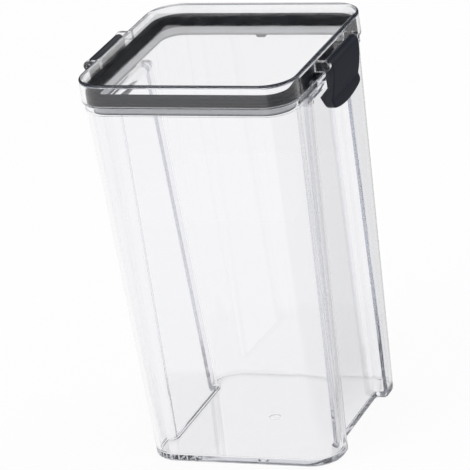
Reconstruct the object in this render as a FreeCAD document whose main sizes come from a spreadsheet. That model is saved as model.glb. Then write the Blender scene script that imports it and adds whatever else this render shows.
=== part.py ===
import FreeCAD, Part
import math
import os
import Sketcher

# A tall square food container with a clear lid, a seal in the lid and a flip latch on two sides.
# Millimetres. +Z is up, the origin is the middle of the base, and the latches are on the +X and -X sides.

SIZES = (
    # lid
    ("total_height", 189.0),
    ("lid_width", 105.0),
    ("lid_corner", 15.0),
    ("skirt_wall", 2.0),
    ("skirt_height", 11.1),
    ("plate_thickness", 2.0),
    ("rim_round", 0.9),
    ("skirt_round", 0.5),
    # seal
    ("seal_width", 3.6),
    ("seal_height", 4.6),
    ("seal_fit", 0.1),
    ("seat_gap", 0.05),
    ("seal_groove_depth", 0.4),
    ("seal_groove_height", 0.8),
    ("lip_thickness", 1.2),
    ("lip_depth", 4.8),
    ("pull_tab_width", 5.0),
    ("pull_tab_depth", 1.2),
    # container
    ("base_width", 92.6),
    ("wall", 2.0),
    ("floor_thickness", 2.5),
    ("base_round", 1.2),
    ("floor_round", 1.5),
    ("rim_fit", 0.15),
    ("rim_overlap", 0.5),
    ("rim_round_outside", 0.5),
    ("band_inset", 1.0),
    ("band_height", 3.8),
    ("band_step", 0.6),
    ("band_round", 0.4),
    ("grip_depth", 5.2),
    ("grip_base_width", 53.0),
    ("grip_top_width", 40.5),
    ("grip_top_drop", 19.5),
    ("grip_corner", 1.8),
    ("post_round", 2.0),
    ("gate_diameter", 5.5),
    ("gate_depth", 0.5),
    # latches
    ("latch_width", 34.0),
    ("latch_drop", 23.1),
    ("pivot_out", 4.75),
    ("pivot_drop", 3.9),
    ("barrel_radius", 2.0),
    ("shoulder_out", 3.1),
    ("inner_face_in", 0.95),
    ("hook_drop", 10.9),
    ("hook_tip_drop", 15.4),
    ("hook_reach", 4.1),
    ("crease_drop", 16.6),
    ("crease_out", 0.85),
    ("crease_round", 2.0),
    ("tab_out", 1.1),
    ("tab_bulge", 0.6),
    ("tab_thickness", 2.0),
    ("tab_sag", 2.7),
    ("tab_corner", 2.5),
    ("latch_round", 1.0),
    ("hook_round", 0.4),
    ("catch_width", 33.0),
    ("catch_depth", 5.3),
    ("catch_gap", 0.3),
    # hinge
    ("ear_thickness", 2.4),
    ("ear_gap", 0.2),
    ("ear_radius", 2.5),
    ("ear_round", 0.4),
    ("pin_diameter", 2.0),
    ("pin_inset", 0.2),
    ("pin_ear_fit", 0.02),
    ("pin_latch_fit", 0.06),
)

# Places closer together than this count as one when edges are picked.
TOUCH = 0.01
# A rounding takes at most this share of the wall that it is cut in.
ROUND_SHARE = 0.85

# Half widths and corner radii, as expressions on the sheet.
LID_HALF = "(sizes.lid_width / 2)"
BASE_HALF = "(sizes.base_width / 2)"
# The container's corner posts stand beside the grips, and no corner is rounder than a post allows.
POST_WIDTH = f"({BASE_HALF} - sizes.grip_base_width / 2)"
WIDEST_CORNER = f"({ROUND_SHARE} * ({POST_WIDTH} - sizes.wall) + sizes.band_inset + sizes.band_step)"
CORNER = f"min(sizes.lid_corner; {WIDEST_CORNER})"
SKIRT_HALF = f"({LID_HALF} - sizes.skirt_wall)"
SKIRT_CORNER = f"({CORNER} - sizes.skirt_wall)"
SEAL_OUTER = f"({SKIRT_HALF} - sizes.seal_fit)"
SEAL_OUTER_CORNER = f"({SKIRT_CORNER} - sizes.seal_fit)"
SEAL_INNER = f"({SEAL_OUTER} - sizes.seal_width)"
SEAL_INNER_CORNER = f"({SEAL_OUTER_CORNER} - sizes.seal_width)"
SEAL_LIP = f"({SEAL_INNER} + sizes.lip_thickness)"
SEAL_LIP_CORNER = f"({SEAL_INNER_CORNER} + sizes.lip_thickness)"
LIP_HALF = f"({SKIRT_HALF} - sizes.rim_fit)"
LIP_CORNER = f"({SKIRT_CORNER} - sizes.rim_fit)"
BAND_HALF = f"({LID_HALF} - sizes.band_inset)"
BAND_CORNER = f"({CORNER} - sizes.band_inset)"
MOUTH_HALF = f"({BAND_HALF} - sizes.band_step)"
WALL_CORNER = f"({BAND_CORNER} - sizes.band_step)"

# Heights above the base.
PLATE_UNDER = "(sizes.total_height - sizes.plate_thickness)"
SKIRT_FOOT = "(sizes.total_height - sizes.skirt_height)"
RIM_TOP = f"({SKIRT_FOOT} + sizes.rim_overlap)"
BAND_TOP = f"({SKIRT_FOOT} - sizes.catch_gap)"
BAND_FOOT = f"({BAND_TOP} - sizes.band_height)"
GRIP_TOP = "(sizes.total_height - sizes.grip_top_drop)"
SEAL_FOOT = f"({RIM_TOP} + sizes.seat_gap)"
SEAL_LIP_FOOT = f"({SEAL_FOOT} - sizes.lip_depth)"
DRAFT = f"atan(({MOUTH_HALF} - {BASE_HALF}) / {BAND_FOOT})"

# The latch hinge, and the places on the latch that other pieces follow.
PIVOT_X = f"({LID_HALF} + sizes.pivot_out)"
PIVOT_Z = "(sizes.total_height - sizes.pivot_drop)"
LATCH_FACE = f"({PIVOT_X} - sizes.inner_face_in)"
HOOK_RISE = "(sizes.hook_tip_drop - sizes.hook_drop)"
HOOK_SLOPE = f"({HOOK_RISE} / sizes.hook_reach)"
SHOULDER_DROP = "(sizes.shoulder_out - sizes.barrel_radius)"
FACE_BULGE = "(sizes.shoulder_out - sizes.crease_out)"
FACE_HEIGHT = f"(sizes.crease_drop - {SHOULDER_DROP})"
FACE_RADIUS = f"(({FACE_BULGE} ^ 2 + {FACE_HEIGHT} ^ 2) / (2 * {FACE_BULGE}))"
# The tab's profile runs on below the tab by this much, and the curved trim takes it off.
TAB_SPARE = "(sizes.tab_sag / 4)"
TAB_LENGTH = f"(sizes.latch_drop + {TAB_SPARE} - sizes.crease_drop)"
TAB_CHORD = f"sqrt({TAB_LENGTH} ^ 2 + (sizes.tab_out - sizes.crease_out) ^ 2)"
TAB_RADIUS = f"(({TAB_CHORD} / 2) ^ 2 + sizes.tab_bulge ^ 2) / (2 * sizes.tab_bulge)"
EAR_OUTER = "(sizes.latch_width + 2 * sizes.ear_gap + 2 * sizes.ear_thickness)"

doc = FreeCAD.newDocument("food_container")
sheet = doc.addObject("Spreadsheet::Sheet", "sizes")
for row, (alias, number) in enumerate(SIZES, start=1):
    sheet.set(f"A{row}", alias)
    sheet.set(f"B{row}", str(number))
    sheet.setAlias(f"B{row}", alias)
doc.recompute()


def size(expression):
    """The number, in millimetres, that an expression on the sheet has now."""
    return float(sheet.evalExpression(expression))


def wall_half(height):
    """An expression for the container's half width outside the wall at a height."""
    return f"({BASE_HALF} + ({MOUTH_HALF} - {BASE_HALF}) * {height} / {BAND_FOOT})"


def new_body(name):
    body = doc.addObject("PartDesign::Body", name)
    body.Label = name
    return body


def attach(body, feature, plane):
    """Lays a sketch or a primitive on one of its own body's origin planes."""
    support = [f for f in body.Origin.OriginFeatures if f.Role == plane][0]
    feature.AttachmentSupport = (support, "")
    feature.MapMode = "FlatFace"


def new_sketch(body, name, plane="XY_Plane", height=None):
    """An empty sketch on one of the body's own origin planes, raised by an expression."""
    sketch = body.newObject("Sketcher::SketchObject", name)
    attach(body, sketch, plane)
    if height is not None:
        sketch.setExpression("AttachmentOffset.Base.z", height)
    return sketch


def bind(sketch, kind, references, expression):
    """Adds a dimension to a sketch and ties it to an expression on the sheet."""
    value = size(expression)
    index = sketch.addConstraint(Sketcher.Constraint(kind, *references, value))
    sketch.setExpression(f"Constraints[{index}]", expression)


def place_point(sketch, geometry, end, x, y):
    """Ties one end of a line or arc to a place measured from the sketch's origin."""
    origin = (-1, 1)
    for kind, expression in (("DistanceX", x), ("DistanceY", y)):
        if size(expression) < 0:
            bind(sketch, kind, (geometry, end, *origin), f"-({expression})")
        else:
            bind(sketch, kind, (*origin, geometry, end), expression)


def sharp_square(sketch, half):
    """Adds a square outline centred on the sketch's origin."""
    outline(sketch, [(f"-{half}", f"-{half}"), (half, f"-{half}"), (half, half), (f"-{half}", half)])


def rounded_square(sketch, half, corner):
    """Adds a square outline with rounded corners, centred on the sketch's origin."""
    reach = size(half)
    radius = size(corner)
    straight = reach - radius
    lines = []
    arcs = []
    for quarter in range(4):
        turn = FreeCAD.Rotation(FreeCAD.Vector(0, 0, 1), 90 * quarter)
        start = turn.multVec(FreeCAD.Vector(-straight, -reach, 0))
        end = turn.multVec(FreeCAD.Vector(straight, -reach, 0))
        centre = turn.multVec(FreeCAD.Vector(straight, -straight, 0))
        circle = Part.Circle(centre, FreeCAD.Vector(0, 0, 1), radius)
        first = math.radians(90 * quarter - 90)
        lines.append(sketch.addGeometry(Part.LineSegment(start, end)))
        arcs.append(sketch.addGeometry(Part.ArcOfCircle(circle, first, first + math.pi / 2)))
    for quarter in range(4):
        following = lines[(quarter + 1) % 4]
        direction = ("Horizontal", "Vertical")[quarter % 2]
        sketch.addConstraint(Sketcher.Constraint("Tangent", lines[quarter], 2, arcs[quarter], 1))
        sketch.addConstraint(Sketcher.Constraint("Tangent", arcs[quarter], 2, following, 1))
        sketch.addConstraint(Sketcher.Constraint(direction, lines[quarter]))
        if quarter:
            sketch.addConstraint(Sketcher.Constraint("Equal", arcs[0], arcs[quarter]))
    bind(sketch, "Radius", (arcs[0],), corner)
    bind(sketch, "DistanceY", (lines[0], 1, -1, 1), half)
    bind(sketch, "DistanceX", (-1, 1, lines[1], 1), half)
    bind(sketch, "DistanceY", (-1, 1, lines[2], 1), half)
    bind(sketch, "DistanceX", (lines[3], 1, -1, 1), half)


def arc_between(start, end, radius, turn):
    """The arc under a half circle from start to end that turns left (1) or right (-1)."""
    chord = end - start
    middle = (start + end) * 0.5
    across = FreeCAD.Vector(-chord.y, chord.x, 0).normalize()
    rise = math.sqrt(max(radius**2 - (chord.Length / 2) ** 2, 0))
    centre = middle + across * rise * turn
    first, last = (start, end) if turn > 0 else (end, start)
    angles = [math.atan2(p.y - centre.y, p.x - centre.x) for p in (first, last)]
    if angles[1] < angles[0]:
        angles[1] += 2 * math.pi
    circle = Part.Circle(centre, FreeCAD.Vector(0, 0, 1), radius)
    return Part.ArcOfCircle(circle, angles[0], angles[1])


def outline(sketch, points, arcs=None):
    """Adds a closed outline through points. arcs gives, by a point's number, the radius and the turn
    of the arc from that point to the next; every other stretch is straight."""
    arcs = arcs or {}
    spots = [FreeCAD.Vector(size(x), size(y), 0) for x, y in points]
    ends = []
    for number, spot in enumerate(spots):
        following = spots[(number + 1) % len(spots)]
        if number in arcs:
            radius, turn = arcs[number]
            index = sketch.addGeometry(arc_between(spot, following, size(radius), turn))
            bind(sketch, "Radius", (index,), radius)
            ends.append((index, 1, 2) if turn > 0 else (index, 2, 1))
        else:
            index = sketch.addGeometry(Part.LineSegment(spot, following))
            ends.append((index, 1, 2))
    for number, (index, start, end) in enumerate(ends):
        after, after_start, after_end = ends[(number + 1) % len(ends)]
        sketch.addConstraint(Sketcher.Constraint("Coincident", index, end, after, after_start))
        place_point(sketch, index, start, *points[number])


def circle_at(sketch, x, y, radius):
    centre = FreeCAD.Vector(size(x), size(y), 0)
    normal = FreeCAD.Vector(0, 0, 1)
    index = sketch.addGeometry(Part.Circle(centre, normal, size(radius)))
    bind(sketch, "Radius", (index,), radius)
    place_point(sketch, index, 3, x, y)


def extrude(body, kind, name, sketch, length, symmetric=False, reverse=False):
    """Pads or pockets a sketch by an expression, and stops if that changes no volume."""
    before = 0.0 if body.Shape.isNull() else body.Shape.Volume
    feature = body.newObject(f"PartDesign::{kind}", name)
    feature.Profile = sketch
    feature.setExpression("Length", length)
    feature.SideType = "Symmetric" if symmetric else "One side"
    feature.Reversed = reverse
    doc.recompute()
    grown = body.Shape.Volume - before
    if (grown > 0) != (kind == "Pad"):
        raise RuntimeError(f"{name} changes nothing")
    return feature


def round_edges(body, name, radius, wanted):
    """Rounds the edges of the body so far whose middle point and shape pass the test."""
    doc.recompute()
    base = body.Tip
    names = []
    for number, edge in enumerate(base.Shape.Edges, start=1):
        if wanted(edge, edge.CenterOfMass):
            names.append(f"Edge{number}")
    fillet = body.newObject("PartDesign::Fillet", name)
    fillet.Base = (base, names)
    fillet.setExpression("Radius", radius)
    doc.recompute()
    return fillet


def mirrored(points, side):
    """The same points on the +X side (1) or the -X side (-1)."""
    return [(x, y) if side > 0 else (f"-({x})", y) for x, y in points]


def cut_grips(body, inset):
    """Cuts the tapering grip panel out of both latch sides, deeper and wider by inset."""
    upright = FreeCAD.Rotation(FreeCAD.Vector(1, 0, 0), 90)
    for side, word in ((1, "right"), (-1, "left")):
        cutter = body.newObject("PartDesign::SubtractiveWedge", f"{body.Name}_{word}_grip")
        attach(body, cutter, "XY_Plane")
        cutter.AttachmentOffset = FreeCAD.Placement(FreeCAD.Vector(), upright)
        near_x, far_x = ("Xmin", "Xmax") if side > 0 else ("Xmax", "Xmin")
        for level, height in (("", "0"), ("2", f"({GRIP_TOP} + {inset})")):
            half = grip_half(height, inset)
            cutter.setExpression(near_x.replace("X", f"X{level}"), f"{side} * {grip_panel(height, inset)}")
            outside = f"({wall_half(height)} + sizes.wall)"
            cutter.setExpression(far_x.replace("X", f"X{level}"), f"{side} * {outside}")
            cutter.setExpression(f"Z{level}min", f"-{half}")
            cutter.setExpression(f"Z{level}max", half)
        cutter.setExpression("Ymin", "0")
        cutter.setExpression("Ymax", f"({GRIP_TOP} + {inset})")
    round_edges(body, f"{body.Name}_grip_corners", grip_corner(inset), in_grip_corner(inset))


def grip_corner(inset):
    """An expression for the radius along the inner edges of a grip, no more than its flank allows."""
    return f"min(sizes.grip_corner + {inset} / 2; {ROUND_SHARE} * sizes.grip_depth)"


def grip_panel(height, inset):
    """An expression for how far out the grip panel stands at a height."""
    return f"({wall_half(height)} - sizes.grip_depth - {inset})"


def grip_half(height, inset):
    """An expression for the grip's half width at a height: it narrows evenly to its top."""
    narrowing = "(sizes.grip_base_width - sizes.grip_top_width)"
    top = f"({GRIP_TOP} + {inset})"
    return f"((sizes.grip_base_width - {narrowing} * {height} / {top}) / 2 + {inset})"


def in_grip_corner(inset):
    """A test that picks the inner edges of the grips: down both flanks and round the top."""
    top = size(f"({GRIP_TOP} + {inset})")

    def picked(edge, middle):
        level = str(middle.z)
        on_panel = abs(abs(middle.x) - size(grip_panel(level, inset))) < TOUCH
        on_flank = abs(abs(middle.y) - size(grip_half(level, inset))) < TOUCH
        at_top = abs(middle.z - top) < TOUCH
        return (on_panel and on_flank) or (at_top and (on_panel or on_flank))

    return picked


def on_post(edge, middle):
    """Picks the long edges where a grip's flanks meet the wall."""
    level = str(middle.z)
    on_wall = abs(abs(middle.x) - size(wall_half(level))) < TOUCH
    on_flank = abs(abs(middle.y) - size(grip_half(level, "0"))) < TOUCH
    return on_wall and on_flank


def tapered_block(body, low, high, inset):
    """The square drafted form of the container from height low to high, smaller by inset all round,
    with one radius all the way up each corner."""
    foot = new_sketch(body, f"{body.Name}_outline", height=low)
    sharp_square(foot, f"({wall_half(low)} - {inset})")
    block = extrude(body, "Pad", f"{body.Name}_block", foot, f"({high} - {low})")
    draft = body.newObject("PartDesign::Draft", f"{body.Name}_draft")
    draft.Base = (block, side_faces(block.Shape))
    draft.NeutralPlane = (foot, [""])
    draft.setExpression("Angle", DRAFT)
    draft.Reversed = True
    round_edges(body, f"{body.Name}_corners", f"({WALL_CORNER} - {inset})", on_diagonal)


def on_diagonal(edge, middle):
    """Picks the four edges that run up the corners of a square block."""
    return abs(abs(middle.x) - abs(middle.y)) < TOUCH


def side_faces(shape):
    """The names of the faces that stand upright round a padded block."""
    names = []
    for number, face in enumerate(shape.Faces, start=1):
        if abs(face.normalAt(0, 0).z) < TOUCH:
            names.append(f"Face{number}")
    return names


def add_catches(body):
    """A block under each latch. Its sloped underside clears the closed hook at the outer edge."""
    root = f"({MOUTH_HALF} - sizes.wall / 2)"
    face = f"({LATCH_FACE} - sizes.catch_gap)"
    hook_top = f"({PIVOT_Z} - sizes.hook_drop - sizes.catch_gap * {HOOK_SLOPE})"
    edge = f"({hook_top} + sizes.catch_gap * sqrt(1 + {HOOK_SLOPE} ^ 2))"
    under = f"({BAND_TOP} - sizes.catch_depth)"
    points = [(root, BAND_TOP), (root, under), (face, edge), (face, BAND_TOP)]
    sketch = new_sketch(body, "catch_profile", "XZ_Plane")
    for side in (1, -1):
        outline(sketch, mirrored(points, side))
    extrude(body, "Pad", "catches", sketch, "sizes.catch_width", symmetric=True)


def at_level(height):
    """A test that picks the edges lying at a height."""
    level = size(height)
    return lambda edge, middle: edge.BoundBox.ZLength < TOUCH and abs(middle.z - level) < TOUCH


def on_band(edge, middle):
    """Picks the straight edges along the top and the foot of the band's outer face."""
    at_edge = at_level(BAND_TOP)(edge, middle) or at_level(BAND_FOOT)(edge, middle)
    return at_edge and abs(max(abs(middle.x), abs(middle.y)) - size(BAND_HALF)) < TOUCH


def add_rim(body):
    """The band round the mouth, and a lip above it that goes inside the lid's skirt."""
    band = new_sketch(body, "rim_band_outline", height=BAND_FOOT)
    rounded_square(band, BAND_HALF, BAND_CORNER)
    extrude(body, "Pad", "rim_band", band, "sizes.band_height")
    round_edges(body, "band_rounds", "sizes.band_round", on_band)
    lip = new_sketch(body, "rim_lip_outline", height=BAND_TOP)
    rounded_square(lip, LIP_HALF, LIP_CORNER)
    extrude(body, "Pad", "rim_lip", lip, f"({RIM_TOP} - {BAND_TOP})")
    round_edges(body, "rim_rounds", "sizes.rim_round_outside", at_level(RIM_TOP))


def make_container():
    outside = new_body("container_outside")
    tapered_block(outside, "0", BAND_FOOT, "0")
    cut_grips(outside, "0")
    flank = f"({ROUND_SHARE} * (sizes.grip_depth - {grip_corner('0')}))"
    round_edges(outside, "post_rounds", f"min(sizes.post_round; {flank})", on_post)
    round_edges(outside, "base_rounds", "sizes.base_round", at_level("0"))
    add_rim(outside)
    add_catches(outside)
    gate = new_sketch(outside, "gate_outline")
    circle_at(gate, "0", "0", "(sizes.gate_diameter / 2)")
    extrude(outside, "Pocket", "gate_mark", gate, "sizes.gate_depth", reverse=True)
    core = new_body("container_core")
    tapered_block(core, "sizes.floor_thickness", RIM_TOP, "sizes.wall")
    cut_grips(core, "sizes.wall")
    round_edges(core, "floor_rounds", "sizes.floor_round", at_level("sizes.floor_thickness"))
    container = doc.addObject("Part::Cut", "container_body")
    container.Base = outside
    container.Tool = core
    doc.recompute()
    return container


def make_lid():
    lid = new_body("lid_cover")
    block = new_sketch(lid, "lid_outline", height=SKIRT_FOOT)
    rounded_square(block, LID_HALF, CORNER)
    extrude(lid, "Pad", "lid_block", block, "sizes.skirt_height")
    under = new_sketch(lid, "skirt_inside", height=SKIRT_FOOT)
    rounded_square(under, SKIRT_HALF, SKIRT_CORNER)
    extrude(lid, "Pocket", "seal_channel", under, f"({PLATE_UNDER} - {SKIRT_FOOT})", reverse=True)
    round_edges(lid, "lid_rim_rounds", "sizes.rim_round", at_level("sizes.total_height"))
    round_edges(lid, "skirt_rounds", "sizes.skirt_round", at_level(SKIRT_FOOT))
    add_ears(lid)
    return lid


def on_side(edge, middle, reach):
    """Whether an open edge lies in the upright plane at +Y or -Y reach."""
    flat = edge.BoundBox.YLength < TOUCH
    return flat and not edge.isClosed() and abs(abs(middle.y) - reach) < TOUCH


def add_ears(lid):
    """Two ears on each latch side, with a round boss about the hinge and a bore for the pin."""
    root = f"({LID_HALF} - sizes.skirt_wall / 2)"
    top = f"({PIVOT_Z} + sizes.ear_radius)"
    foot = f"({PIVOT_Z} - sizes.ear_radius)"
    nose = f"({PIVOT_X} + sizes.ear_radius)"
    ear = [(root, top), (root, foot), (PIVOT_X, foot), (nose, PIVOT_Z), (PIVOT_X, top)]
    ears = new_sketch(lid, "ear_profile", "XZ_Plane")
    for side in (1, -1):
        outline(ears, mirrored(ear, side), {2: ("sizes.ear_radius", side), 3: ("sizes.ear_radius", side)})
    extrude(lid, "Pad", "ears", ears, EAR_OUTER, symmetric=True)
    slot = new_sketch(lid, "ear_slot_profile", "XZ_Plane")
    for side in (1, -1):
        outline(slot, mirrored([(LID_HALF, top), (LID_HALF, foot), (nose, foot), (nose, top)], side))
    extrude(lid, "Pocket", "ear_slots", slot, "(sizes.latch_width + 2 * sizes.ear_gap)", symmetric=True)
    bores = new_sketch(lid, "ear_bore_profile", "XZ_Plane")
    for x in (PIVOT_X, f"(-{PIVOT_X})"):
        circle_at(bores, x, PIVOT_Z, "(sizes.pin_diameter / 2 + sizes.pin_ear_fit)")
    extrude(lid, "Pocket", "ear_bores", bores, EAR_OUTER, symmetric=True)
    side_face = size(EAR_OUTER) / 2

    def ear_outline(edge, middle):
        return on_side(edge, middle, side_face)

    round_edges(lid, "ear_rounds", "sizes.ear_round", ear_outline)


def make_seal():
    """A square ring under the lid, held by the skirt, with a thin lip that goes down into the mouth."""
    seal = new_body("seal_ring")
    ring = new_sketch(seal, "seal_outline", height=SEAL_FOOT)
    rounded_square(ring, SEAL_OUTER, SEAL_OUTER_CORNER)
    rounded_square(ring, SEAL_INNER, SEAL_INNER_CORNER)
    extrude(seal, "Pad", "seal_band", ring, "sizes.seal_height")
    for share in (1, 2):
        middle = f"({SEAL_FOOT} + sizes.seal_height * {share} / 3)"
        groove = new_sketch(seal, f"seal_groove_outline_{share}",
                            height=f"({middle} - sizes.seal_groove_height / 2)")
        rounded_square(groove, SEAL_OUTER, SEAL_OUTER_CORNER)
        rounded_square(groove, f"({SEAL_OUTER} - sizes.seal_groove_depth)",
                       f"({SEAL_OUTER_CORNER} - sizes.seal_groove_depth)")
        extrude(seal, "Pocket", f"seal_groove_{share}", groove, "sizes.seal_groove_height", reverse=True)
    lip = new_sketch(seal, "lip_outline", height=SEAL_LIP_FOOT)
    rounded_square(lip, SEAL_LIP, SEAL_LIP_CORNER)
    rounded_square(lip, SEAL_INNER, SEAL_INNER_CORNER)
    extrude(seal, "Pad", "seal_lip", lip, "sizes.lip_depth")
    add_pull_tab(seal)
    return seal


def add_pull_tab(seal):
    """A small tab under the middle of the lip at the back, to pull the seal out by."""
    half = "(sizes.pull_tab_width / 2)"
    foot = f"({SEAL_LIP_FOOT} - sizes.pull_tab_depth)"
    sketch = new_sketch(seal, "pull_tab_outline", height=SEAL_LIP_FOOT)
    outline(sketch, [(f"-{half}", SEAL_INNER), (half, SEAL_INNER), (half, SEAL_LIP), (f"-{half}", SEAL_LIP)])
    extrude(seal, "Pad", "pull_tab", sketch, "sizes.pull_tab_depth", reverse=True)
    at_foot = at_level(foot)

    def end_edge(edge, middle):
        return at_foot(edge, middle) and edge.BoundBox.XLength < TOUCH

    round_edges(seal, "pull_tab_rounds", f"({ROUND_SHARE} * min(sizes.pull_tab_depth; {half}))", end_edge)


def latch_points():
    """The latch's outline about its pivot, as distances outward and upward."""
    barrel = "sizes.barrel_radius"
    inner = "-sizes.inner_face_in"
    barrel_foot = f"-sqrt({barrel} ^ 2 - sizes.inner_face_in ^ 2)"
    tip = "-(sizes.inner_face_in + sizes.hook_reach)"
    foot = f"-(sizes.crease_drop + {TAB_LENGTH})"
    return [
        (inner, barrel_foot),
        (inner, "-sizes.hook_drop"),
        (tip, "-sizes.hook_tip_drop"),
        ("(sizes.tab_out - sizes.tab_thickness)", foot),
        ("sizes.tab_out", foot),
        ("sizes.crease_out", "-sizes.crease_drop"),
        ("sizes.shoulder_out", f"-{SHOULDER_DROP}"),
        ("0", barrel),
        (f"-{barrel}", "0"),
    ]


def make_latch(word, side):
    latch = new_body(f"{word}_latch")
    profile = new_sketch(latch, f"{word}_latch_profile", "XZ_Plane")
    points = [(f"({PIVOT_X} + {out})", f"({PIVOT_Z} + {up})") for out, up in latch_points()]
    arcs = {4: (TAB_RADIUS, side), 5: (FACE_RADIUS, side), 6: ("sizes.shoulder_out", side)}
    for number in (7, 8):
        arcs[number] = ("sizes.barrel_radius", side)
    outline(profile, mirrored(points, side), arcs)
    extrude(latch, "Pad", f"{word}_latch_block", profile, "sizes.latch_width", symmetric=True)
    bore = new_sketch(latch, f"{word}_latch_bore_profile", "XZ_Plane")
    pivot = mirrored([(PIVOT_X, PIVOT_Z)], side)[0]
    circle_at(bore, *pivot, "(sizes.pin_diameter / 2 + sizes.pin_latch_fit)")
    extrude(latch, "Pocket", f"{word}_latch_bore", bore, "sizes.latch_width", symmetric=True)
    trim_tab(latch, word)
    round_latch(latch, word, side)
    return latch


def round_latch(latch, word, side):
    """Rounds the crease above the tab, the tab's lower corners, the hook's tip and the face's ends."""
    end_face = size("sizes.latch_width / 2")
    tab_end = size(f"({PIVOT_Z} - sizes.latch_drop + sizes.tab_sag)")
    crease_z = size(f"({PIVOT_Z} - sizes.crease_drop)")
    face_edge = size(f"({PIVOT_X} + sizes.crease_out)")
    tip_x = size(f"({LATCH_FACE} - sizes.hook_reach)")

    def crease(edge, middle):
        level = edge.BoundBox.ZLength < TOUCH and abs(middle.z - crease_z) < TOUCH
        return level and side * middle.x > tip_x and edge.BoundBox.YLength > end_face

    def tab_corner(edge, middle):
        level = edge.BoundBox.ZLength < TOUCH and abs(middle.z - tab_end) < TOUCH
        return level and on_side(edge, middle, end_face)

    def outer_edge(edge, middle):
        return on_side(edge, middle, end_face) and side * middle.x > face_edge

    def hook_tip(edge, middle):
        return abs(side * middle.x - tip_x) < TOUCH and edge.BoundBox.YLength > end_face

    round_edges(latch, f"{word}_crease_round", "sizes.crease_round", crease)
    round_edges(latch, f"{word}_tab_corners", "sizes.tab_corner", tab_corner)
    round_edges(latch, f"{word}_hook_tip", "sizes.hook_round", hook_tip)
    barrel_wall = "(sizes.barrel_radius - sizes.pin_diameter / 2 - sizes.pin_latch_fit)"
    face_round = f"min(sizes.latch_round; {ROUND_SHARE} * {barrel_wall})"
    round_edges(latch, f"{word}_latch_rounds", face_round, outer_edge)


def trim_tab(latch, word):
    """Curves the tab's lower edge, lowest in the middle of the latch."""
    half = "(sizes.latch_width / 2)"
    low = f"({PIVOT_Z} - sizes.latch_drop)"
    ends = f"({low} + sizes.tab_sag)"
    under = f"({low} - sizes.tab_sag)"
    radius = f"(({half} ^ 2 + sizes.tab_sag ^ 2) / (2 * sizes.tab_sag))"
    sketch = new_sketch(latch, f"{word}_tab_outline", "YZ_Plane")
    points = [(f"-{half}", ends), (half, ends), (half, under), (f"-{half}", under)]
    outline(sketch, points, {0: (radius, 1)})
    through_both_sides = f"(2 * {PIVOT_X} + sizes.lid_width)"
    extrude(latch, "Pocket", f"{word}_tab_curve", sketch, through_both_sides, symmetric=True)


def make_pin(word, side):
    """A plain pin along Y, through both ears and the barrel between them."""
    pin = doc.addObject("Part::Cylinder", f"{word}_hinge_pin")
    length = f"({EAR_OUTER} - 2 * sizes.pin_inset)"
    pin.setExpression("Radius", "sizes.pin_diameter / 2")
    pin.setExpression("Height", length)
    pin.Placement = FreeCAD.Placement(FreeCAD.Vector(), FreeCAD.Rotation(FreeCAD.Vector(1, 0, 0), -90))
    pin.setExpression("Placement.Base.x", f"{side} * {PIVOT_X}")
    pin.setExpression("Placement.Base.y", f"-{length} / 2")
    pin.setExpression("Placement.Base.z", PIVOT_Z)
    return pin


def stop_on_faults(pieces):
    for item in doc.Objects:
        if "Invalid" in item.State or "Error" in item.State:
            raise RuntimeError(f"{item.Label} did not build: {item.State}")
    for piece in pieces:
        if piece.Shape.isNull() or not piece.Shape.isValid():
            raise RuntimeError(f"{piece.Label} has no sound shape")


def main():
    pieces = [make_container(), make_lid(), make_seal()]
    for word, side in (("right", 1), ("left", -1)):
        pieces.append(make_latch(word, side))
        pieces.append(make_pin(word, side))
    doc.recompute()
    stop_on_faults(pieces)
    os.makedirs("parts", exist_ok=True)
    for piece in pieces:
        piece.Label = piece.Name
        piece.Shape.exportStep(f"parts/{piece.Label}.step")
        print(piece.Label, len(piece.Shape.Solids), round(piece.Shape.Volume, 2))


main()
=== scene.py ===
import math

import bpy
from mathutils import Matrix, Vector


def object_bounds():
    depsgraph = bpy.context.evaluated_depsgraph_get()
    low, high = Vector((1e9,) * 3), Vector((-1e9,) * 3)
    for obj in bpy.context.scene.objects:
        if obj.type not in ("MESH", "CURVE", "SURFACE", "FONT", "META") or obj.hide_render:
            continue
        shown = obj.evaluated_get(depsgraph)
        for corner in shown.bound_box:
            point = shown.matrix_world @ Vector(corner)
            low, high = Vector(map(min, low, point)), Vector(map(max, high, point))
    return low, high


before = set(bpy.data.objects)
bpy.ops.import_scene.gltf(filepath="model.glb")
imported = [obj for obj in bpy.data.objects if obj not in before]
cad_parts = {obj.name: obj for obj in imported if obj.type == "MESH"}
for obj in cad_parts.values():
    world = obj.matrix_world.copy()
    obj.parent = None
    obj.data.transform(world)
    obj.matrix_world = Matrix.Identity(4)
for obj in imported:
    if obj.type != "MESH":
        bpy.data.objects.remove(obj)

CAD_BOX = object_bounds()

# Lengths are in metres and angles in degrees, unless a name says otherwise.

# The picture is square, this many pixels a side. The lens is given for a 36 mm wide sensor.
PICTURE_PIXELS = 470
SENSOR_MM = 36.0

# Where the camera stands: to the right of the front, above the floor, and tipped.
VIEW_AZIMUTH = 24.49
VIEW_ELEVATION = 22.33
VIEW_ROLL = -8.57
VIEW_DISTANCE = 1.7
VIEW_HEIGHT = 0.0944
# The lens, and the pixel that the middle of the lens falls on.
LENS_MM = 283.3
LENS_CENTRE_PIXEL = (248.54, 235.44)

# The clear plastic's own colour, the same for the container and the lid.
CLEAR = "#FBFBFC"

# The lid: half its width, its top, its corners in plan, and a hair more than the round of its top edge.
LID_HALF = CAD_BOX[1][1]
LID_TOP = CAD_BOX[1][2]
LID_CORNER = 0.015
LID_EDGE = 0.00092
# The painted shade line along that edge: how far in it reaches, and how softly it ends there.
LINE_WIDTH = 0.0012
LINE_SOFT = 0.0003

# The seal's lip, in height above the floor: pale below its top, and darker from its edge down to its foot.
LIP_TOP = 0.1779
LIP_SOFT = 0.0003
LIP_EDGE = 0.1749
LIP_FOOT = 0.1736

# The top of the container's base plate.
BASE_TOP = 0.0025

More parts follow.
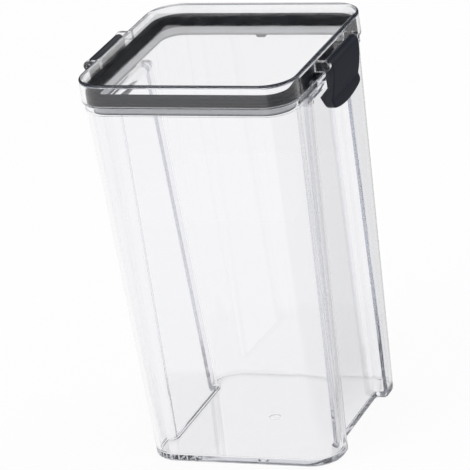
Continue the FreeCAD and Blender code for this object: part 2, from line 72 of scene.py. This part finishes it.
# The room as gloss shows it: white below the first angle above the level, and dark from the second one up.
SWEEP_TOP = -8.0
DARK_FROM = 0.0
DARK_LEVEL = 0.03
# What is seen through clear plastic stays white to about this much higher.
THROUGH_RISE = 17.0
# How bright the room is for matt surfaces.
FILL_LEVEL = 0.85

# The floor: how far it goes each way, how far it lies below the container, and how much of its white is glow.
FLOOR_SIZE = 3.0
FLOOR_DROP = 0.0002
FLOOR_GLOW = 0.92
# In gloss the floor fades to dark at this distance from the middle, which gives the clear plastic its dark edges.
GLOSS_REACH = 0.67
# It also does so to the right: in this direction, from this distance on, over this width.
GLOSS_RIGHT = (0.985, 0.174, 0.0)
GLOSS_EDGE = 0.02
GLOSS_FADE = 0.06

# How far the white cards hang from the face that mirrors them.
CARD_AWAY = 0.15

# A clear wall sends a ray to and fro many times before it comes out, so it gets more bounces than usual.
BOUNCES = 128

# The sockets of a colour Mix node: its two colours, and what it gives.
FIRST, SECOND, MIXED = 6, 7, 2


def hex_colour(code):
    """A linear RGBA colour from an sRGB hex value."""
    shares = [int(code[i:i + 2], 16) / 255 for i in (1, 3, 5)]
    linear = [c / 12.92 if c <= 0.04045 else ((c + 0.055) / 1.055) ** 2.4 for c in shares]
    return (*linear, 1.0)


def per_mm(size):
    """The scale of a pattern whose features are size millimetres across."""
    return 1000.0 / size


def add_node(tree, kind, settings):
    """Adds a node. A setting is a link if it is another node's socket, and otherwise an input or a property."""
    node = tree.nodes.new(kind)
    for name, value in settings.items():
        if isinstance(value, bpy.types.NodeSocket):
            tree.links.new(value, node.inputs[name])
        elif isinstance(name, int) or name in node.inputs:
            node.inputs[name].default_value = value
        else:
            setattr(node, name, value)
    return node


def new_material(name):
    """A material and its node tree, which is empty."""
    material = bpy.data.materials.new(name)
    material.use_nodes = True
    tree = material.node_tree
    tree.nodes.clear()
    return material, tree


def clear_san_moulded(name, flow_mm, tint):
    """Clear SAN, injection moulded in a polished tool: hard bright edges, grey where the eye looks along a wall."""
    material, tree = new_material(name)
    place = add_node(tree, "ShaderNodeTexCoord", {}).outputs["Object"]
    # Slow flow of the melt: it bends what is seen through the wall by a hair.
    flow = add_node(tree, "ShaderNodeTexNoise", {"Vector": place, "Scale": per_mm(flow_mm), "Detail": 1.0})
    bump = add_node(tree, "ShaderNodeBump", {"Height": flow.outputs["Fac"], "Strength": 0.02, "Distance": 0.0004})
    # Fine wear from washing: the gloss is a little uneven.
    wear = add_node(tree, "ShaderNodeTexNoise", {"Vector": place, "Scale": per_mm(6.0), "Detail": 3.0})
    gloss = add_node(tree, "ShaderNodeMapRange", {"Value": wear.outputs["Fac"], "To Min": 0.0, "To Max": 0.05})
    plastic = add_node(tree, "ShaderNodeBsdfPrincipled", {
        "Base Color": hex_colour(CLEAR),
        "Roughness": gloss.outputs["Result"],
        "IOR": 1.57,
        "Transmission Weight": 1.0,
        "Normal": bump.outputs["Normal"],
    })
    depth = add_node(tree, "ShaderNodeVolumeAbsorption", {"Color": hex_colour(tint), "Density": 14.0})
    add_node(tree, "ShaderNodeOutputMaterial", {
        "Surface": plastic.outputs["BSDF"],
        "Volume": depth.outputs["Volume"],
    })
    return material, plastic


def paint_lid_edge_shade(material, plastic):
    """The lid's round top edge turns the light away; that thin dark line is painted shade in its colour."""
    tree = material.node_tree
    place = add_node(tree, "ShaderNodeTexCoord", {}).outputs["Object"]
    # How far out a point lies in plan, as a distance from the middle of the nearest corner's round.
    quarter = add_node(tree, "ShaderNodeVectorMath", {"operation": "ABSOLUTE", 0: place})
    straight = LID_HALF - LID_CORNER
    past = add_node(tree, "ShaderNodeVectorMath", {
        "operation": "SUBTRACT",
        0: quarter.outputs["Vector"],
        1: (straight, straight, LID_TOP),
    })
    outward = add_node(tree, "ShaderNodeVectorMath", {"operation": "MAXIMUM", 0: past.outputs["Vector"]})
    reach = add_node(tree, "ShaderNodeVectorMath", {"operation": "LENGTH", 0: outward.outputs["Vector"]})
    height = add_node(tree, "ShaderNodeSeparateXYZ", {"Vector": place}).outputs["Z"]
    above = add_node(tree, "ShaderNodeMath", {"operation": "GREATER_THAN", 0: height, 1: LID_TOP - LID_EDGE})
    edge = add_node(tree, "ShaderNodeMapRange", {
        "Value": reach.outputs["Value"],
        "From Min": LID_CORNER - LINE_WIDTH,
        "From Max": LID_CORNER - LINE_WIDTH + LINE_SOFT,
        "To Max": above.outputs["Value"],
    })
    # Painted shade: near black along the round, in place of the light that it turns away.
    colour = add_node(tree, "ShaderNodeMix", {
        "data_type": "RGBA",
        "Factor": edge.outputs["Result"],
        FIRST: hex_colour(CLEAR),
        SECOND: hex_colour("#2A2C33"),
    })
    tree.links.new(colour.outputs[MIXED], plastic.inputs["Base Color"])


def silicone_moulded():
    """Charcoal silicone rubber, moulded: matt, with a soft bloom and no sharp shine. Its thin lip is pale, and its
    near-white is partly painted light, for the light that comes through the lip."""
    material, tree = new_material("silicone_moulded")
    place = add_node(tree, "ShaderNodeTexCoord", {}).outputs["Object"]
    grain = add_node(tree, "ShaderNodeTexNoise", {"Vector": place, "Scale": per_mm(0.5), "Detail": 2.0})
    bump = add_node(tree, "ShaderNodeBump", {"Height": grain.outputs["Fac"], "Strength": 0.1, "Distance": 0.00005})
    bloom = add_node(tree, "ShaderNodeTexNoise", {"Vector": place, "Scale": per_mm(9.0), "Detail": 3.0})
    ring = add_node(tree, "ShaderNodeMix", {
        "data_type": "RGBA",
        "Factor": bloom.outputs["Fac"],
        FIRST: hex_colour("#131722"),
        SECOND: hex_colour("#1B202C"),
    })
    height = add_node(tree, "ShaderNodeSeparateXYZ", {"Vector": place}).outputs["Z"]
    from_foot = add_node(tree, "ShaderNodeMapRange", {"Value": height, "From Min": LIP_FOOT, "From Max": LIP_EDGE})
    # Partly painted light: the lip's near-white colour also stands for light shining through the thin lip.
    lip = add_node(tree, "ShaderNodeMix", {
        "data_type": "RGBA",
        "Factor": from_foot.outputs["Result"],
        FIRST: hex_colour("#2A2C32"),
        SECOND: hex_colour("#F2F4F8"),
    })
    over_lip = add_node(tree, "ShaderNodeMapRange", {
        "Value": height,
        "From Min": LIP_TOP - LIP_SOFT,
        "From Max": LIP_TOP,
    })
    colour = add_node(tree, "ShaderNodeMix", {
        "data_type": "RGBA",
        "Factor": over_lip.outputs["Result"],
        FIRST: lip.outputs[MIXED],
        SECOND: ring.outputs[MIXED],
    })
    rubber = add_node(tree, "ShaderNodeBsdfPrincipled", {
        "Base Color": colour.outputs[MIXED],
        "Roughness": 0.55,
        "IOR": 1.41,
        "Specular IOR Level": 0.15,
        "Normal": bump.outputs["Normal"],
    })
    add_node(tree, "ShaderNodeOutputMaterial", {"Surface": rubber.outputs["BSDF"]})
    return material


def abs_spark_eroded(name, dark, pale):
    """Charcoal ABS, moulded in a spark-eroded tool: satin, with a fine even grain that breaks up the shine."""
    material, tree = new_material(name)
    place = add_node(tree, "ShaderNodeTexCoord", {}).outputs["Object"]
    # The real grain is about 0.1 mm, too fine to show here, so it is drawn four times as coarse.
    grain = add_node(tree, "ShaderNodeTexNoise", {"Vector": place, "Scale": per_mm(0.4), "Detail": 2.0})
    bump = add_node(tree, "ShaderNodeBump", {"Height": grain.outputs["Fac"], "Strength": 0.15, "Distance": 0.00005})
    # Handling polishes it unevenly: the colour and the shine vary slowly together.
    polish = add_node(tree, "ShaderNodeTexNoise", {"Vector": place, "Scale": per_mm(8.0), "Detail": 3.0})
    colour = add_node(tree, "ShaderNodeMix", {
        "data_type": "RGBA",
        "Factor": polish.outputs["Fac"],
        FIRST: hex_colour(dark),
        SECOND: hex_colour(pale),
    })
    shine = add_node(tree, "ShaderNodeMapRange", {"Value": polish.outputs["Fac"], "To Min": 0.34, "To Max": 0.46})
    plastic = add_node(tree, "ShaderNodeBsdfPrincipled", {
        "Base Color": colour.outputs[MIXED],
        "Roughness": shine.outputs["Result"],
        "IOR": 1.52,
        "Normal": bump.outputs["Normal"],
    })
    add_node(tree, "ShaderNodeOutputMaterial", {"Surface": plastic.outputs["BSDF"]})
    return material


def dress(node, material):
    """Gives a CAD node its finish."""
    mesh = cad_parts[node].data
    mesh.materials.clear()
    mesh.materials.append(material)


def dress_container():
    """Gives every CAD node its finish. The lid is clearer along its plate than the container along its walls."""
    container, _ = clear_san_moulded("clear_san_container", flow_mm=18.0, tint="#E4E6EB")
    dress("container_body", container)
    lid, plastic = clear_san_moulded("clear_san_lid", flow_mm=14.0, tint="#F6F7F9")
    # The lid's top edge gets a line of painted shade.
    paint_lid_edge_shade(lid, plastic)
    dress("lid_cover", lid)
    dress("seal_ring", silicone_moulded())
    latch = abs_spark_eroded("abs_spark_eroded", dark="#1B1F29", pale="#222733")
    pin = abs_spark_eroded("abs_pin", dark="#161A23", pale="#1C212B")
    for side in ("right", "left"):
        dress(f"{side}_latch", latch)
        dress(f"{side}_hinge_pin", pin)


def view_axes():
    """The camera's right, up and backward directions."""
    azimuth = math.radians(VIEW_AZIMUTH)
    elevation = math.radians(VIEW_ELEVATION)
    roll = math.radians(VIEW_ROLL)
    back = Vector((
        math.sin(azimuth) * math.cos(elevation),
        -math.cos(azimuth) * math.cos(elevation),
        math.sin(elevation),
    ))
    level = Vector((math.cos(azimuth), math.sin(azimuth), 0.0))
    upright = back.cross(level)
    right = level * math.cos(roll) + upright * math.sin(roll)
    up = upright * math.cos(roll) - level * math.sin(roll)
    return right, up, back


def place_camera():
    """The photograph's camera."""
    right, up, back = view_axes()
    camera = bpy.data.objects.new("camera", bpy.data.cameras.new("camera"))
    bpy.context.scene.collection.objects.link(camera)
    spot = Vector((0.0, 0.0, VIEW_HEIGHT)) + back * VIEW_DISTANCE
    turn = Matrix((right, up, back)).transposed().to_4x4()
    camera.matrix_world = Matrix.Translation(spot) @ turn
    camera.data.sensor_width = SENSOR_MM
    camera.data.lens = LENS_MM
    middle = PICTURE_PIXELS / 2
    camera.data.shift_x = (middle - LENS_CENTRE_PIXEL[0]) / PICTURE_PIXELS
    camera.data.shift_y = (LENS_CENTRE_PIXEL[1] - middle) / PICTURE_PIXELS
    camera.data.dof.use_dof = False
    bpy.context.scene.camera = camera


def seen_directly(tree):
    """1 for what the camera sees, also in gloss and through clear plastic, and 0 for what lights a matt surface."""
    path = add_node(tree, "ShaderNodeLightPath", {})
    seen = add_node(tree, "ShaderNodeMath", {"operation": "LESS_THAN", 0: path.outputs["Diffuse Depth"], 1: 0.5})
    return seen.outputs["Value"]


def flat_sheet(name, finish, corners):
    """A sheet with four corners, and the node tree of its finish, which is empty."""
    mesh = bpy.data.meshes.new(name)
    mesh.from_pydata(corners, [], [(0, 1, 2, 3)])
    sheet = bpy.data.objects.new(name, mesh)
    bpy.context.scene.collection.objects.link(sheet)
    material, tree = new_material(finish)
    mesh.materials.append(material)
    return sheet, tree


def lay_floor():
    """White paper that shows as white and still holds a faint shadow. Gloss sees it end in the dark."""
    near, far = -FLOOR_SIZE, FLOOR_SIZE
    corners = [(near, near, 0.0), (far, near, 0.0), (far, far, 0.0), (near, far, 0.0)]
    floor, tree = flat_sheet("floor", "white_paper", corners)
    floor.location.z = -FLOOR_DROP
    paper = add_node(tree, "ShaderNodeBsdfDiffuse", {"Color": hex_colour("#EDEDED")})
    place = add_node(tree, "ShaderNodeNewGeometry", {}).outputs["Position"]
    beside = add_node(tree, "ShaderNodeVectorMath", {"operation": "DOT_PRODUCT", 0: place, 1: GLOSS_RIGHT})
    away = add_node(tree, "ShaderNodeVectorMath", {"operation": "LENGTH", 0: place})
    # Moved in so that one fade serves the distance and the right side.
    beyond = add_node(tree, "ShaderNodeMath", {
        "operation": "SUBTRACT",
        0: away.outputs["Value"],
        1: GLOSS_REACH - GLOSS_EDGE,
    })
    past = add_node(tree, "ShaderNodeMath", {
        "operation": "MAXIMUM",
        0: beside.outputs["Value"],
        1: beyond.outputs["Value"],
    })
    ending = add_node(tree, "ShaderNodeMapRange", {
        "interpolation_type": "SMOOTHSTEP",
        "Value": past.outputs["Value"],
        "From Min": GLOSS_EDGE,
        "From Max": GLOSS_EDGE + GLOSS_FADE,
        "To Min": 1.0,
        "To Max": DARK_LEVEL,
    })
    # Only a mirror image shows that. What is seen through clear plastic stays white.
    path = add_node(tree, "ShaderNodeLightPath", {})
    mirrored = add_node(tree, "ShaderNodeMath", {
        "operation": "SUBTRACT",
        "use_clamp": True,
        0: path.outputs["Is Glossy Ray"],
        1: path.outputs["Is Transmission Ray"],
    })
    white = add_node(tree, "ShaderNodeMapRange", {
        "Value": mirrored.outputs["Value"],
        "To Min": 1.0,
        "To Max": ending.outputs["Result"],
    })
    glow = add_node(tree, "ShaderNodeEmission", {
        "Color": hex_colour("#FFFFFF"),
        "Strength": white.outputs["Result"],
    })
    share = add_node(tree, "ShaderNodeMath", {"operation": "MULTIPLY", 0: seen_directly(tree), 1: FLOOR_GLOW})
    both = add_node(tree, "ShaderNodeMixShader", {
        0: share.outputs["Value"],
        1: paper.outputs["BSDF"],
        2: glow.outputs["Emission"],
    })
    add_node(tree, "ShaderNodeOutputMaterial", {"Surface": both.outputs["Shader"]})


def light_studio():
    """Even soft light on matt surfaces. Gloss and clear plastic show a white sweep with a dark room above it."""
    world = bpy.data.worlds.new("white_studio")
    bpy.context.scene.world = world
    world.use_nodes = True
    tree = world.node_tree
    tree.nodes.clear()
    direction = add_node(tree, "ShaderNodeTexCoord", {}).outputs["Generated"]
    height = add_node(tree, "ShaderNodeSeparateXYZ", {"Vector": direction}).outputs["Z"]
    path = add_node(tree, "ShaderNodeLightPath", {})
    lowered = add_node(tree, "ShaderNodeMath", {
        "operation": "MULTIPLY_ADD",
        0: path.outputs["Is Transmission Ray"],
        1: -math.sin(math.radians(THROUGH_RISE)),
        2: height,
    })
    sweep = add_node(tree, "ShaderNodeMapRange", {
        "interpolation_type": "SMOOTHSTEP",
        "Value": lowered.outputs["Value"],
        "From Min": math.sin(math.radians(SWEEP_TOP)),
        "From Max": math.sin(math.radians(DARK_FROM)),
        "To Min": 1.0,
        "To Max": DARK_LEVEL,
    })
    shown = add_node(tree, "ShaderNodeMath", {
        "operation": "MAXIMUM",
        0: sweep.outputs["Result"],
        1: path.outputs["Is Camera Ray"],
    })
    room = add_node(tree, "ShaderNodeBackground", {
        "Color": hex_colour("#FFFFFF"),
        "Strength": shown.outputs["Value"],
    })
    fill = add_node(tree, "ShaderNodeBackground", {"Color": hex_colour("#FFFFFF"), "Strength": FILL_LEVEL})
    both = add_node(tree, "ShaderNodeMixShader", {
        0: seen_directly(tree),
        1: fill.outputs["Background"],
        2: room.outputs["Background"],
    })
    add_node(tree, "ShaderNodeOutputWorld", {"Surface": both.outputs["Shader"]})


def add_lamp(name, spot, side, power):
    """A square soft lamp that faces the middle of the container."""
    lamp = bpy.data.objects.new(name, bpy.data.lights.new(name, "AREA"))
    lamp.data.shape = "SQUARE"
    lamp.data.size = side
    lamp.data.energy = power
    lamp.location = spot
    aim = Vector((0.0, 0.0, VIEW_HEIGHT)) - Vector(spot)
    lamp.rotation_euler = aim.to_track_quat("-Z", "Y").to_euler()
    bpy.context.scene.collection.objects.link(lamp)


def hang_card(name, level, height, across, along):
    """A white card that only gloss and clear plastic show. Its mirror image in a flat face at this height fills
    this part of the face, from left to right across and from front to back along."""
    eye = bpy.context.scene.camera.matrix_world.translation
    left, right = across
    front, back = along
    corners = []
    for x, y in ((left, front), (right, front), (right, back), (left, back)):
        spot = Vector((x, y, height))
        ray = (spot - eye).normalized()
        corners.append(spot + CARD_AWAY * Vector((ray.x, ray.y, -ray.z)))
    card, tree = flat_sheet(name, name, corners)
    card.visible_camera = False
    card.visible_diffuse = False
    card.visible_shadow = False
    glow = add_node(tree, "ShaderNodeEmission", {"Color": hex_colour("#FFFFFF"), "Strength": level})
    add_node(tree, "ShaderNodeOutputMaterial", {"Surface": glow.outputs["Emission"]})


def set_render():
    """Plain colours, and enough bounces for clear plastic."""
    scene = bpy.context.scene
    scene.view_settings.view_transform = "Standard"
    scene.cycles.max_bounces = BOUNCES
    scene.cycles.transmission_bounces = BOUNCES
    scene.cycles.glossy_bounces = BOUNCES


dress_container()
place_camera()
lay_floor()
light_studio()
add_lamp("key_lamp", spot=(-0.7, -0.9, 1.3), side=1.0, power=6.0)
add_lamp("rim_lamp", spot=(0.9, 0.7, 1.0), side=0.8, power=3.0)
# The lid's middle, its far strip and its left strip shine white, and the dark room lies over the seal between them.
hang_card("lid_card", level=0.85, height=LID_TOP, across=(-0.0354, 0.060), along=(-0.060, 0.0221))
hang_card("far_card", level=0.9, height=LID_TOP, across=(-LID_HALF, LID_HALF), along=(0.0386, 0.066))
hang_card("left_card", level=1.0, height=LID_TOP, across=(-0.0512, -0.0465), along=(-LID_HALF, 0.0386))
hang_card("base_card", level=1.0, height=BASE_TOP, across=(-0.046, 0.046), along=(-0.046, 0.046))
set_render()
